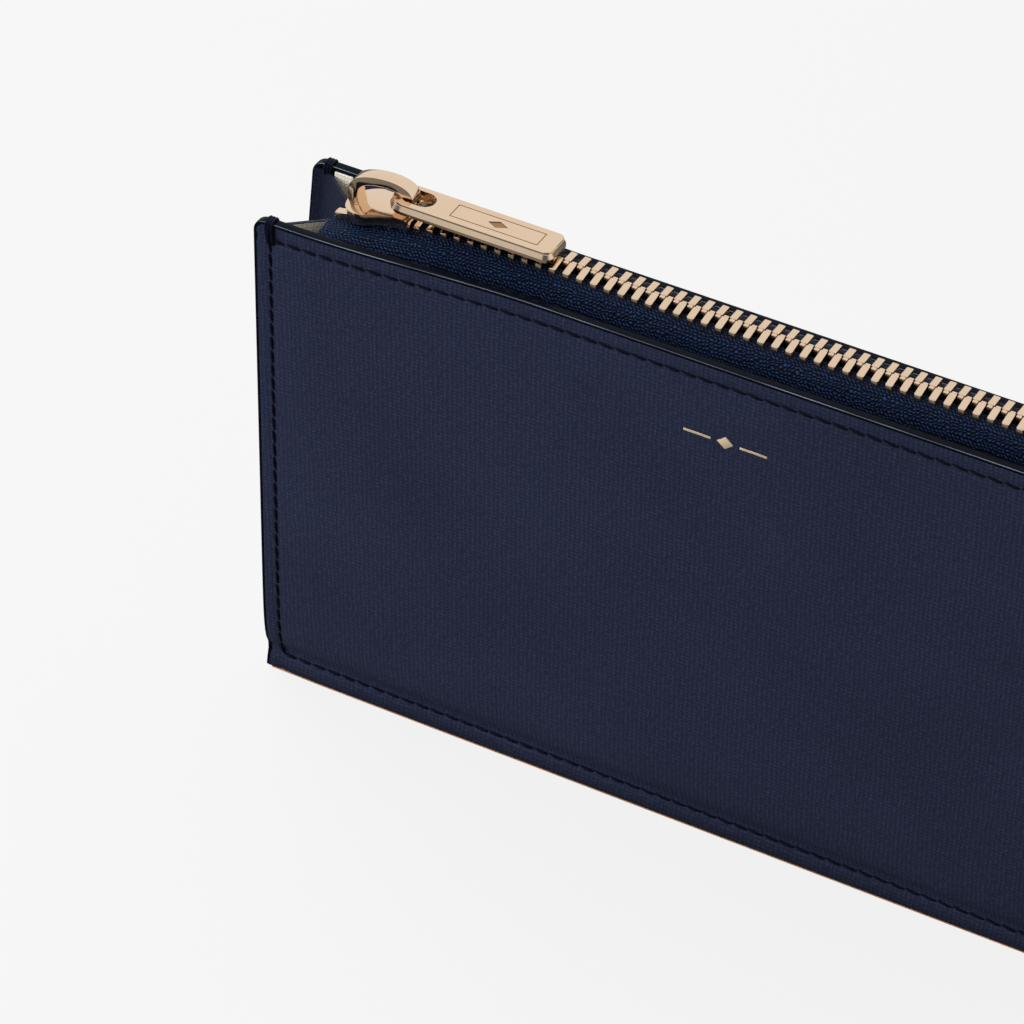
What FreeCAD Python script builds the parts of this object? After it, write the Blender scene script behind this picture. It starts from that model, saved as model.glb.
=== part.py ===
"""Zip-top leather card holder, standing on its bottom seam.

Frame: X runs along the length, the front panel faces -Y, Z is up.
The origin is on the floor, at the middle of the bottom seam. Millimetres.
"""
import FreeCAD, Part

import math
import os

# --- Driving dimensions -------------------------------------------------------
LENGTH = 138.0            # side edge to side edge
HEIGHT = 82.5             # bottom seam to the top edge of the panels
HALF_MOUTH = 6.65         # centre to outer face at the top edge, mid-length
HALF_CORNER = 8.85        # the same at the four top corners, where the mouth flares
FLARE_FLAT = 5.0          # length at each end over which the mouth stays widest
FLARE_LEFT = 38.0         # length over which the flare dies out, left and right
FLARE_RIGHT = 22.0

SEAM_HALF = 1.45          # centre to outer face in the bottom seam allowance
SEAM_HEIGHT = 4.3         # height of the flat seam allowance
ROLL = 1.1                # how far the panel rolls outward just above the seam
ROLL_HEIGHT = 3.0         # height over which it does so

LEATHER = 0.95            # panel leather
BOARD = 0.40              # stiffener board, and the zip tape that ends above it
LINING = 0.30
LAYER_GAP = 0.03          # glue line between two layers

GUSSET = 0.45             # gusset leather
GUSSET_LINING = 0.25
FLANGE = 3.0              # width of the gusset's sewn edge
FOLD_DEPTH = 11.0         # depth of the V fold beyond the sewn edge, at the top

PITCH = 2.0               # zip tooth pitch on each tape
CHAIN_HALF = 2.25         # half width of the closed chain
CHAIN_LOW = HEIGHT + 1.4
CHAIN_TOP = HEIGHT + 3.3
TAPE_LEVEL = HEIGHT + 2.3  # upper face of the tapes where the teeth grip them
TAPE_DEPTH = 9.0          # how far the tape reaches down behind the panel
TAPE_END = 61.0
TEETH_START = -55.2       # first back tooth
TEETH_PER_SIDE = 56
DIP_START = -42.0         # left of here the chain bends down into the mouth
DIP_CURVE = 0.013
DIP_SLOPE = 0.2           # slope that it reaches, which the slider shares

SLIDER_LEFT = -59.3
SLIDER_RIGHT = -48.7
SLIDER_MIDDLE = (SLIDER_LEFT + SLIDER_RIGHT) / 2
PLATE = 0.8               # thickness of each slider plate
RUN_GAP = 0.15            # clearance between the slider and the chain

TAB_LEFT = -52.9
TAB_LENGTH = 24.6
TAB_WIDTH = 5.8
TAB_THICK = 1.5
TAB_LOW = HEIGHT + 3.85   # underside of the tab at rest

HALF = LENGTH / 2
FRONT = -1
BACK = 1
OUT_DIR = "parts"


def vec(x, y, z):
    return FreeCAD.Vector(x, y, z)


def save(name, solids):
    """Write one node, a single solid or a group of separate solids."""
    if not isinstance(solids, (list, tuple)):
        solids = [solids]
    shape = solids[0] if len(solids) == 1 else Part.makeCompound(list(solids))
    volume = sum(solid.Volume for solid in solids)
    print(f"{name:24s} {len(solids):4d} solids {volume:9.1f} mm3 valid {shape.isValid()}")
    shape.exportStep(os.path.join(OUT_DIR, name + ".step"))


def mirror_y(solids):
    return [solid.mirror(vec(0, 0, 0), vec(0, 1, 0)) for solid in solids]


# --- The shape that every layer follows ----------------------------------------
def flare(x):
    """1 at the top corners, 0 along the middle of the mouth."""
    from_end = HALF - abs(x)
    run = FLARE_LEFT if x < 0 else FLARE_RIGHT
    step = min(max((from_end - FLARE_FLAT) / run, 0.0), 1.0)
    return 0.5 * (1.0 + math.cos(math.pi * step))


def half_width(x, z):
    """Distance from the middle plane to the outer face of a panel."""
    reach = HEIGHT - SEAM_HEIGHT
    lean_mid = (HALF_MOUTH - SEAM_HALF - ROLL) / reach
    lean_corner = (HALF_CORNER - SEAM_HALF - ROLL) / reach
    lean = lean_mid + (lean_corner - lean_mid) * flare(x)
    above = max(z - SEAM_HEIGHT, 0.0)
    return SEAM_HALF + ROLL * (1.0 - math.exp(-above / ROLL_HEIGHT)) + lean * above


def dip(x):
    """How far the left end of the zip chain hangs below its level stretch."""
    run = max(DIP_START - x, 0.0)
    bend = DIP_SLOPE / (2 * DIP_CURVE)
    if run < bend:
        return DIP_CURVE * run * run
    return DIP_CURVE * bend * bend + DIP_SLOPE * (run - bend)


def lay_on_chain(solid, x):
    """Turn and lower a piece drawn on the level chain, so that it follows the dip."""
    slope = (dip(x - 0.01) - dip(x + 0.01)) / 0.02
    solid.rotate(vec(x, 0, TAPE_LEVEL), vec(0, 1, 0), -math.degrees(math.atan(slope)))
    solid.translate(vec(0, 0, -dip(x)))
    return solid


def stations(x_low, x_high):
    """Places along the length where a layer's section is drawn."""
    wanted = [-69, -64, -57, -50, -46, -42, -36, -26, -10, 12, 30, 42, 48, 53, 58, 64, 69]
    inner = [x for x in wanted if x_low + 1.5 < x < x_high - 1.5]
    return [x_low] + inner + [x_high]


def levels(z_low, z_high):
    """Heights where a layer's section has a point, close together over the roll."""
    wanted = [0, 2.2, 4.3, 5.4, 6.8, 8.6, 11, 15, 22, 34, 50, 66, HEIGHT]
    inner = [z for z in wanted if z_low + 0.6 < z < z_high - 0.6]
    return [z_low] + inner + [z_high]


def layer(side, x_low, x_high, z_low, z_high, depth, thick):
    """A sheet that follows a panel.

    depth(x, z) is how far its outer face lies inside the panel's outer face.
    """
    heights = levels(z_low, z_high)
    wires = []
    for x in stations(x_low, x_high):
        outer = [vec(x, side * (half_width(x, z) - depth(x, z)), z) for z in heights]
        inner = [vec(x, p.y - side * thick, p.z) for p in outer]
        up = Part.BSplineCurve()
        up.interpolate(outer)
        down = Part.BSplineCurve()
        down.interpolate(inner[::-1])
        edges = [
            up.toShape(),
            Part.makeLine(outer[-1], inner[-1]),
            down.toShape(),
            Part.makeLine(inner[0], outer[0]),
        ]
        wires.append(Part.Wire(edges))
    return Part.makeLoft(wires, True, False)


def depth_of(value):
    return lambda x, z: value


def lining_depth(x, z):
    """The lining passes behind the board, and meets the leather in the seam."""
    step = min(max((z - 4.8) / 4.0, 0.0), 1.0)
    ease = step * step * (3.0 - 2.0 * step)
    return LEATHER + LAYER_GAP + (BOARD + 3 * LAYER_GAP) * ease


# --- Panels, boards, linings ----------------------------------------------------
def panel(side):
    """Leather side, cut off flat along the bottom so that it stands."""
    spare = 0.05
    sheet = layer(side, -HALF, HALF, -spare, HEIGHT, depth_of(0.0), LEATHER)
    width = 4 * HALF_CORNER
    below = Part.makeBox(LENGTH + 2, width, 2 * spare, vec(-HALF - 1, -width / 2, -2 * spare))
    return sheet.cut(below).Solids[0]


def board(side):
    top = HEIGHT - TAPE_DEPTH - 1.0
    return layer(side, -62.5, 62.5, 8.0, top, depth_of(LEATHER + LAYER_GAP), BOARD)


def lining(side):
    return layer(side, -64.0, 64.0, 0.4, HEIGHT - 1.6, lining_depth, LINING)


def edge_coat(side):
    """Painted bead along the top edge, over leather and tape, with two bevels on each side."""
    width = LEATHER + 0.3
    bead = [(0, 0), (0.06, 0.18), (0.3, 0.35), (width - 0.3, 0.35), (width - 0.06, 0.18), (width, 0)]
    base = HEIGHT + LAYER_GAP
    wires = []
    for x in stations(-HALF, HALF):
        outer = half_width(x, HEIGHT)
        points = [vec(x, side * (outer - inward), base + rise) for inward, rise in bead]
        wires.append(Part.makePolygon(points + points[:1]))
    return Part.makeLoft(wires, True, False)


# --- Stitching -------------------------------------------------------------------
THREAD = 0.35             # width of a stitch row
THREAD_PROUD = 0.12       # how far the thread stands out of the leather
SIDE_INSET = 2.0
TOP_INSET = 2.4
BOTTOM_INSET = 2.8


def stitching(side):
    """Four rows on the outer face of a panel, a little inside its edges."""
    depth = depth_of(-THREAD_PROUD - LAYER_GAP)
    x_end = HALF - SIDE_INSET
    z_top = HEIGHT - TOP_INSET
    half = THREAD / 2
    gap = 0.15
    rows = [
        (-x_end, x_end, z_top - half, z_top + half),
        (-x_end, x_end, BOTTOM_INSET - half, BOTTOM_INSET + half),
        (-x_end - half, -x_end + half, BOTTOM_INSET + half + gap, z_top - half - gap),
        (x_end - half, x_end + half, BOTTOM_INSET + half + gap, z_top - half - gap),
    ]
    return [layer(side, *row, depth, THREAD_PROUD) for row in rows]


def bar_tacks(side):
    """Thick thread wrapped over the top edge near each corner."""
    wrap = 0.35
    low = HEIGHT - 3.0
    low_inside = HEIGHT - 1.8
    clear = 0.22          # room for the stitch row under it
    top = HEIGHT + 0.45
    solids = []
    for x in (-66.6, 64.9):
        outer_low = half_width(x, low) + clear
        outer_top = half_width(x, HEIGHT) + clear
        inner_top = outer_top - LEATHER - 1.0
        inner_low = outer_low - LEATHER - 1.0
        outline = [
            (outer_low, low), (outer_low + wrap, low), (outer_top + wrap, HEIGHT),
            (outer_top - 0.2, top + wrap), (inner_top + 0.2, top + wrap),
            (inner_top - wrap, HEIGHT), (inner_low - wrap, low_inside), (inner_low, low_inside),
            (inner_top, HEIGHT), (inner_top + 0.3, top), (outer_top - 0.3, top),
            (outer_top, HEIGHT),
        ]
        points = [vec(x, side * y, z) for y, z in outline]
        face = Part.Face(Part.makePolygon(points + points[:1]))
        solids.append(face.extrude(vec(1.7, 0, 0)))
    return solids


# --- Ornament on the front --------------------------------------------------------
def foil_mark():
    """A lozenge between two short bars, in thin metal foil."""
    z_mid = HEIGHT - 11.6
    foil = 0.04
    face_y = -(half_width(0, z_mid) + 0.02)
    tilt = math.degrees(math.atan2(half_width(0, z_mid + 2) - half_width(0, z_mid - 2), 4))
    lozenge = [(-1.2, 0), (0, -1.0), (1.2, 0), (0, 1.0)]
    left_bar = [(-6.0, -0.18), (-2.1, -0.18), (-2.1, 0.18), (-6.0, 0.18)]
    right_bar = [(-x, z) for x, z in left_bar]
    solids = []
    for outline in (lozenge, left_bar, right_bar):
        points = [vec(x, 0, z) for x, z in outline]
        solid = Part.Face(Part.makePolygon(points + points[:1])).extrude(vec(0, -foil, 0))
        solid.rotate(vec(0, 0, 0), vec(1, 0, 0), tilt)
        solid.translate(vec(0, face_y, z_mid))
        solids.append(solid)
    return solids


# --- Side gussets -----------------------------------------------------------------
GUSSET_LOW = 10.0
GUSSET_TOP = HEIGHT - 2.2


def gusset_levels():
    return [GUSSET_LOW, 18.0, 34.0, 50.0, 66.0, GUSSET_TOP]


def fold_x(width, end):
    """Where the V fold points, from the sewn edge: shallower where it is narrow."""
    widest = HALF_CORNER - LEATHER
    return end * (HALF - FLANGE - FOLD_DEPTH * width / widest)


def gusset(end):
    """V-folded strip, sewn along both panels. end is -1 at the left, 1 at the right."""
    wires = []
    edge = end * (HALF - 0.2)
    crease = end * (HALF - FLANGE)
    for z in gusset_levels():
        width = half_width(end * (HALF - FLANGE), z) - LEATHER - LAYER_GAP - 0.03
        fold = fold_x(width, end)
        back_off = end * 0.75
        half_line = [(edge, width), (crease, width), (fold, 0)]
        far_line = [(crease, -width), (edge, -width), (edge, -width + GUSSET)]
        return_line = [
            (crease + end * 0.15, -width + GUSSET), (fold + back_off, 0),
            (crease + end * 0.15, width - GUSSET), (edge, width - GUSSET),
        ]
        points = [vec(x, y, z) for x, y in half_line + far_line + return_line]
        wires.append(Part.makePolygon(points + points[:1]))
    return Part.makeLoft(wires, True, True)


def gusset_lining(end):
    """Thin lining on the inner faces of the fold."""
    wires = []
    for z in gusset_levels():
        width = half_width(end * (HALF - FLANGE), z) - LEATHER - LAYER_GAP - 0.08
        fold = fold_x(width, end)
        crease = end * (HALF - FLANGE)
        near = -end * 0.2
        far = -end * (0.2 + GUSSET_LINING)
        outline = [
            (crease + near, width), (fold + near, 0), (crease + near, -width),
            (crease + far, -width), (fold + far, 0), (crease + far, width),
        ]
        points = [vec(x, y, z) for x, y in outline]
        wires.append(Part.makePolygon(points + points[:1]))
    return Part.makeLoft(wires, True, True)


# --- Card pockets on the back lining ------------------------------------------------
POCKET = 0.35
POCKET_GAP = 0.08
POCKET_HALF_LENGTH = 50.0


def pocket(z_top, order):
    """A flat patch sewn to the back lining. order counts the patches under it."""
    def depth(x, z):
        return lining_depth(x, z) + LINING + (order + 1) * POCKET_GAP + order * POCKET
    low = 26.0
    return layer(BACK, -POCKET_HALF_LENGTH, POCKET_HALF_LENGTH, low, z_top, depth, POCKET)


def pocket_stitching():
    """One row up each side of the lower patch."""
    def depth(x, z):
        return lining_depth(x, z) + LINING + 2 * (POCKET + POCKET_GAP) + THREAD_PROUD + LAYER_GAP
    solids = []
    for x in (-POCKET_HALF_LENGTH + 1.6, POCKET_HALF_LENGTH - 1.6):
        solids.append(layer(BACK, x - 0.2, x + 0.2, 27.0, 55.0, depth, THREAD_PROUD))
    return solids


# --- Zip ---------------------------------------------------------------------------
def tape(side):
    """Woven tape: gripped by the teeth, arching down behind the panel."""
    thick = BOARD
    wires = []
    for x in stations(-TAPE_END, TAPE_END):
        def behind(z):
            return half_width(x, z) - LEATHER - 2 * LAYER_GAP
        level = TAPE_LEVEL - dip(x)
        shoulder = HEIGHT + 1.1 - 0.8 * dip(x)
        upper = [
            (1.6, level), (3.0, level), (4.5, shoulder),
            (behind(HEIGHT - 0.6), HEIGHT - 0.6), (behind(HEIGHT - TAPE_DEPTH), HEIGHT - TAPE_DEPTH),
        ]
        lower = [
            (behind(HEIGHT - TAPE_DEPTH) - thick, HEIGHT - TAPE_DEPTH),
            (behind(HEIGHT - 0.6) - thick, HEIGHT - 0.9),
            (4.25, shoulder - 0.35), (2.9, level - thick), (1.6, level - thick),
        ]
        points = [vec(x, side * y, z) for y, z in upper + lower]
        wires.append(Part.makePolygon(points + points[:1]))
    return Part.makeLoft(wires, True, False)


def grip_block(x_low, x_high, y_low, y_high):
    """A metal block with a slot along each outer side for the tape edge."""
    block = Part.makeBox(
        x_high - x_low, y_high - y_low, CHAIN_TOP - CHAIN_LOW, vec(x_low, y_low, CHAIN_LOW)
    )
    slot_gap = 0.08
    slot_low = TAPE_LEVEL - BOARD - slot_gap
    for reach in (y_low, y_high):
        if abs(reach) < CHAIN_HALF - 0.01:
            continue
        start = reach if reach < 0 else 1.5
        length = abs(reach) - 1.5
        slot = Part.makeBox(
            x_high - x_low, length, BOARD + 2 * slot_gap, vec(x_low, start, slot_low)
        )
        block = block.cut(slot)
    return block


def teeth(side):
    """One row of teeth. The front row is half a pitch along, so the heads mesh."""
    head_past_middle = 0.45
    half_tooth = 0.42
    shift = PITCH / 2 if side == FRONT else 0.0
    solids = []
    for index in range(TEETH_PER_SIDE):
        x = TEETH_START + shift + index * PITCH
        y_low, y_high = -CHAIN_HALF, head_past_middle
        if side == BACK:
            y_low, y_high = -head_past_middle, CHAIN_HALF
        tooth = grip_block(x - half_tooth, x + half_tooth, y_low, y_high)
        solids.append(lay_on_chain(tooth, x))
    return solids


def top_stop(side):
    """Small block on one tape, where the closed slider comes to rest."""
    y_low, y_high = -CHAIN_HALF, -0.95
    if side == BACK:
        y_low, y_high = 0.95, CHAIN_HALF
    return lay_on_chain(grip_block(-60.3, -58.2, y_low, y_high), -59.2)


def bottom_stop():
    """Block that holds both tapes together at the right end."""
    return grip_block(57.0, 59.4, -CHAIN_HALF, CHAIN_HALF)


# --- Slider --------------------------------------------------------------------------
TOP_PLATE_LOW = CHAIN_TOP + RUN_GAP
TOP_PLATE_HIGH = TOP_PLATE_LOW + PLATE
LOW_PLATE_HIGH = CHAIN_LOW - RUN_GAP
LOW_PLATE_LOW = LOW_PLATE_HIGH - PLATE


def plate_outline(half_shoulder, half_waist, z):
    """Plan of a slider plate: round nose, drawn in at the waist, wide at the tail."""
    shoulder_x = SLIDER_LEFT + 3.8
    waist_x = (shoulder_x + SLIDER_RIGHT) / 2
    nose = [
        vec(shoulder_x, -half_shoulder, z), vec(SLIDER_LEFT, 0, z),
        vec(shoulder_x, half_shoulder, z),
    ]
    tail_back = vec(SLIDER_RIGHT, half_shoulder, z)
    tail_front = vec(SLIDER_RIGHT, -half_shoulder, z)
    edges = [
        Part.Arc(*nose).toShape(),
        Part.Arc(nose[2], vec(waist_x, half_waist, z), tail_back).toShape(),
        Part.makeLine(tail_back, tail_front),
        Part.Arc(tail_front, vec(waist_x, -half_waist, z), nose[0]).toShape(),
    ]
    return Part.Face(Part.Wire(edges))


def slider_body():
    """Two plates joined by a post at the nose, with flanges around the chain."""
    upper_low = TAPE_LEVEL + 0.3
    lower_high = TAPE_LEVEL - BOARD - 0.2
    upper = plate_outline(3.5, 2.85, upper_low).extrude(vec(0, 0, TOP_PLATE_HIGH - upper_low))
    lower = plate_outline(3.0, 2.65, LOW_PLATE_LOW).extrude(vec(0, 0, lower_high - LOW_PLATE_LOW))
    channel = Part.makeBox(
        SLIDER_RIGHT - SLIDER_LEFT + 2, 2 * (CHAIN_HALF + RUN_GAP), TOP_PLATE_LOW - LOW_PLATE_HIGH,
        vec(SLIDER_LEFT - 1, -CHAIN_HALF - RUN_GAP, LOW_PLATE_HIGH),
    )
    post = Part.makeBox(2.0, 1.4, TOP_PLATE_LOW - LOW_PLATE_HIGH, vec(-58.5, -0.7, LOW_PLATE_HIGH))
    body = upper.fuse(lower).cut(channel).fuse(post).removeSplitter()
    return lay_on_chain(body, SLIDER_MIDDLE)


CROWN_LEFT = -58.5
CROWN_RIGHT = -49.0
CROWN_HALF = 1.1          # half width of the band
CROWN_BAND = 1.2          # thickness of the band
CROWN_RISE = 4.6


def arch_outline(x_low, x_high, z_low, z_high, radius):
    """Closed XZ outline with round upper corners."""
    cut = radius * (1 - math.sqrt(0.5))
    edges = [
        Part.makeLine(vec(x_low, 0, z_low), vec(x_low, 0, z_high - radius)),
        Part.Arc(
            vec(x_low, 0, z_high - radius), vec(x_low + cut, 0, z_high - cut),
            vec(x_low + radius, 0, z_high),
        ).toShape(),
        Part.makeLine(vec(x_low + radius, 0, z_high), vec(x_high - radius, 0, z_high)),
        Part.Arc(
            vec(x_high - radius, 0, z_high), vec(x_high - cut, 0, z_high - cut),
            vec(x_high, 0, z_high - radius),
        ).toShape(),
        Part.makeLine(vec(x_high, 0, z_high - radius), vec(x_high, 0, z_low)),
        Part.makeLine(vec(x_high, 0, z_low), vec(x_low, 0, z_low)),
    ]
    return Part.Face(Part.Wire(edges))


def slider_crown():
    """Arched band on the top plate that the pull tab hangs on."""
    base = TOP_PLATE_HIGH + 0.005
    top = TOP_PLATE_HIGH + CROWN_RISE
    outer = arch_outline(CROWN_LEFT, CROWN_RIGHT, base, top, 2.6)
    inner = arch_outline(
        CROWN_LEFT + CROWN_BAND, CROWN_RIGHT - CROWN_BAND, base, top - CROWN_BAND, 1.5
    )
    band = outer.cut(inner).extrude(vec(0, 2 * CROWN_HALF, 0))
    band.translate(vec(0, -CROWN_HALF, 0))
    return lay_on_chain(band, SLIDER_MIDDLE)


TAB_BAR = 1.3             # the tab's end bar, which lies inside the crown
HOLE_LENGTH = 4.9
HOLE_HALF = 1.7
PIVOT_X = TAB_LEFT + TAB_BAR / 2
PIVOT_Z = TAB_LOW + TAB_THICK / 2


def pull_tab():
    """Flat bar with a hole that the crown passes through, lying along the chain."""
    tab = Part.makeBox(
        TAB_LENGTH, TAB_WIDTH, TAB_THICK, vec(TAB_LEFT, -TAB_WIDTH / 2, TAB_LOW)
    )
    for x, radius in ((TAB_LEFT, 2.6), (TAB_LEFT + TAB_LENGTH, 1.0)):
        corners = [
            edge for edge in tab.Edges
            if abs(edge.CenterOfMass.x - x) < 0.01
            and abs(edge.CenterOfMass.z - PIVOT_Z) < 0.01
            and edge.BoundBox.YLength < 0.01
        ]
        tab = tab.makeFillet(radius, corners)
    hole_left = TAB_LEFT + TAB_BAR + HOLE_HALF
    hole_right = TAB_LEFT + TAB_BAR + HOLE_LENGTH - HOLE_HALF
    hole = Part.makeBox(
        hole_right - hole_left, 2 * HOLE_HALF, TAB_THICK, vec(hole_left, -HOLE_HALF, TAB_LOW)
    )
    for x in (hole_left, hole_right):
        hole = hole.fuse(Part.makeCylinder(HOLE_HALF, TAB_THICK, vec(x, 0, TAB_LOW)))
    return tab.cut(hole)


def main():
    os.makedirs(OUT_DIR, exist_ok=True)
    for side, word in ((FRONT, "front"), (BACK, "back")):
        save(word + "_panel", panel(side))
        save(word + "_stiffener", board(side))
        save(word + "_lining", lining(side))
        save(word + "_edge_coat", edge_coat(side))
        save(word + "_stitching", stitching(side))
        save(word + "_bar_tacks", bar_tacks(side))
        save(word + "_tape", tape(side))
        save(word + "_teeth", teeth(side))
        save(word + "_top_stop", top_stop(side))
    for end, word in ((-1, "left"), (1, "right")):
        save(word + "_gusset", gusset(end))
        save(word + "_gusset_lining", gusset_lining(end))
    save("front_foil_mark", foil_mark())
    save("card_pocket_upper", pocket(66.0, 0))
    save("card_pocket_lower", pocket(56.0, 1))
    save("pocket_stitching", pocket_stitching())
    save("bottom_stop", bottom_stop())
    save("slider_body", slider_body())
    save("slider_crown", slider_crown())
    save("pull_tab", pull_tab())


main()
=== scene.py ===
"""Looks of the zip-top card holder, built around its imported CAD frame.

Shapes are worked out in millimetres and written to the meshes in metres.
X runs along the length, the front faces -Y, Z is up.
"""
import math

import bmesh
import bpy
import numpy as np
from mathutils import Matrix, Vector


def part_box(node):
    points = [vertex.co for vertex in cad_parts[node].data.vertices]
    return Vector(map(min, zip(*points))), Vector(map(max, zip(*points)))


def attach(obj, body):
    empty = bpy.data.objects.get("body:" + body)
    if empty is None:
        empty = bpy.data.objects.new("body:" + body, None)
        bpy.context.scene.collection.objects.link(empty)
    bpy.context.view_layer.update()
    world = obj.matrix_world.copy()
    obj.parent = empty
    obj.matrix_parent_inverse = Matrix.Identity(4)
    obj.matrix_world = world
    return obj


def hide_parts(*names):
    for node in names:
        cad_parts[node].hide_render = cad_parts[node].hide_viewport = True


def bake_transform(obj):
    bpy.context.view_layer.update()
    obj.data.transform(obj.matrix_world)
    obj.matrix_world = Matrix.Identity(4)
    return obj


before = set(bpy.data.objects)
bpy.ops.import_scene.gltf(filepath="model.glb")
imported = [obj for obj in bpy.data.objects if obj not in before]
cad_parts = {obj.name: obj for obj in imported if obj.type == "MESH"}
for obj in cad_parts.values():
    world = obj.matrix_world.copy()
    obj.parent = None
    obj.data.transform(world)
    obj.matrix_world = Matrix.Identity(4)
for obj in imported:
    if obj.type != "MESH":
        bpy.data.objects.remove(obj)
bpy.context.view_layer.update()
MM = 0.001

# --- Driving sizes ---
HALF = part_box("front_panel")[1].x / MM
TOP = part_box("front_panel")[1].z / MM
HALF_MOUTH = 6.65
HALF_CORNER = 8.85
FLARE_FLAT = 5.0
FLARE_LEFT = 38.0
FLARE_RIGHT = 22.0
SEAM_HALF = 1.45
SEAM_HEIGHT = 4.3
ROLL = 1.1
ROLL_HEIGHT = 3.0
LEATHER = 0.95
CORNER_ROUND = 1.7
FOOT_ROUND = 0.7
FOOT_LIFT = 0.28           # bare leather shows below this height

STITCH = 2.4               # stitch length
SIDE_INSET = 2.35
TOP_INSET = 2.6
BOTTOM_INSET = 3.2
THREAD_RADIUS = 0.22

PITCH = 2.0
CHAIN_HALF = 2.25
CHAIN_LOW = TOP + 1.4
CHAIN_TOP = TOP + 3.3
TAPE_LEVEL = TOP + 2.3
TAPE_END = 61.0
TAPE_DEPTH = 9.0
TAPE_THICK = 0.4
TEETH_START = -55.2
TEETH_PER_SIDE = 56
DIP_START = -42.0
DIP_CURVE = 0.013
DIP_SLOPE = 0.2

SLIDER_LEFT = -59.3
SLIDER_RIGHT = -48.7
SLIDER_MIDDLE = (SLIDER_LEFT + SLIDER_RIGHT) / 2
PLATE = 0.8
RUN_GAP = 0.15

TAB_LOW, TAB_HIGH = (corner.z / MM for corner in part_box("pull_tab"))
TAB_LEFT, TAB_RIGHT = (corner.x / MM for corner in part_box("pull_tab"))
TAB_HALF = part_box("pull_tab")[1].y / MM

FRONT = -1
BACK = 1
WORDS = {FRONT: "front", BACK: "back"}


# --- The shape that every layer follows ---
def ease(value):
    step = min(max(value, 0.0), 1.0)
    return step * step * (3.0 - 2.0 * step)


def flare(x):
    """1 at the top corners, 0 along the middle of the mouth."""
    from_end = HALF - abs(x)
    run = FLARE_LEFT if x < 0 else FLARE_RIGHT
    step = min(max((from_end - FLARE_FLAT) / run, 0.0), 1.0)
    return 0.5 * (1.0 + math.cos(math.pi * step))


def half_width(x, z):
    """Distance from the middle plane to the outer face of a panel."""
    reach = TOP - SEAM_HEIGHT
    lean_mid = (HALF_MOUTH - SEAM_HALF - ROLL) / reach
    lean_corner = (HALF_CORNER - SEAM_HALF - ROLL) / reach
    lean = lean_mid + (lean_corner - lean_mid) * flare(x)
    above = max(z - SEAM_HEIGHT, 0.0)
    return SEAM_HALF + ROLL * (1.0 - math.exp(-above / ROLL_HEIGHT)) + lean * above


def dip(x):
    """How far the left end of the zip chain hangs below its level stretch."""
    run = max(DIP_START - x, 0.0)
    bend = DIP_SLOPE / (2 * DIP_CURVE)
    if run < bend:
        return DIP_CURVE * run * run
    return DIP_CURVE * bend * bend + DIP_SLOPE * (run - bend)


def chain_rise(x):
    """Height of the chain above its level, with the slight waves of a real zip."""
    wave = 0.42 * math.exp(-(((x + 33.0) / 11.0) ** 2))
    wave += 0.25 * math.exp(-(((x - 33.0) / 10.0) ** 2))
    return wave - dip(x)


def chain_slope(x):
    return (chain_rise(x + 0.01) - chain_rise(x - 0.01)) / 0.02


def on_chain(points, x):
    """Turns and lowers points drawn on the level chain, so that they follow it at x."""
    angle = math.atan(chain_slope(x))
    pts = np.array(points, float)
    dx = pts[:, 0] - x
    dz = pts[:, 2] - TAPE_LEVEL
    out = pts.copy()
    out[:, 0] = x + dx * math.cos(angle) - dz * math.sin(angle)
    out[:, 2] = TAPE_LEVEL + dx * math.sin(angle) + dz * math.cos(angle) + chain_rise(x)
    return out


# --- Mesh helpers ---
def make_object(name, points, faces, uv=None, material=None, smooth_angle=40.0):
    """A mesh object from points in millimetres. uv is one (u, v) per point, in millimetres."""
    mesh = bpy.data.meshes.new(name)
    mesh.from_pydata([tuple(np.array(p) * MM) for p in points], [], faces)
    if uv is not None:
        layer = mesh.uv_layers.new(name="UVMap")
        flat = np.array(uv, float) / 100.0
        loops = np.array([loop.vertex_index for loop in mesh.loops])
        layer.data.foreach_set("uv", flat[loops].astype(np.float32).ravel())
    work = bmesh.new()
    work.from_mesh(mesh)
    bmesh.ops.recalc_face_normals(work, faces=work.faces)
    work.to_mesh(mesh)
    work.free()
    mesh.polygons.foreach_set("use_smooth", [True] * len(mesh.polygons))
    mesh.set_sharp_from_angle(angle=math.radians(smooth_angle))
    obj = bpy.data.objects.new(name, mesh)
    bpy.context.scene.collection.objects.link(obj)
    if material is not None:
        mesh.materials.append(material)
    return obj


def grid_faces(rows, cols, start=0, wrap=False):
    """Quads of a grid of points stored row by row. wrap joins the last column to the first."""
    faces = []
    last = cols if wrap else cols - 1
    for i in range(rows - 1):
        for j in range(last):
            k = (j + 1) % cols
            a = start + i * cols
            b = a + cols
            faces.append((a + j, a + k, b + k, b + j))
    return faces


def solid_between(name, outer, inner, uv, material):
    """Closed solid between two grids of points with the same rows and columns."""
    rows, cols = len(outer), len(outer[0])
    count = rows * cols
    points = [p for row in outer for p in row] + [p for row in inner for p in row]
    faces = grid_faces(rows, cols)
    faces += [tuple(reversed(f)) for f in grid_faces(rows, cols, count)]
    rim = [(0, j) for j in range(cols)] + [(i, cols - 1) for i in range(1, rows)]
    rim += [(rows - 1, j) for j in range(cols - 2, -1, -1)] + [(i, 0) for i in range(rows - 2, 0, -1)]
    for k, (i, j) in enumerate(rim):
        p, q = rim[(k + 1) % len(rim)]
        a, b = i * cols + j, p * cols + q
        faces.append((a, b, b + count, a + count))
    uvs = [p for row in uv for p in row]
    return make_object(name, points, faces, uvs + uvs, material)


def sweep(rings):
    """Points and faces of a capped tube through closed rings of equal length."""
    cols = len(rings[0])
    points = [p for ring in rings for p in ring]
    faces = grid_faces(len(rings), cols, wrap=True)
    faces.append(tuple(range(cols)))
    faces.append(tuple(reversed(range(len(points) - cols, len(points)))))
    return points, faces


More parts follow.
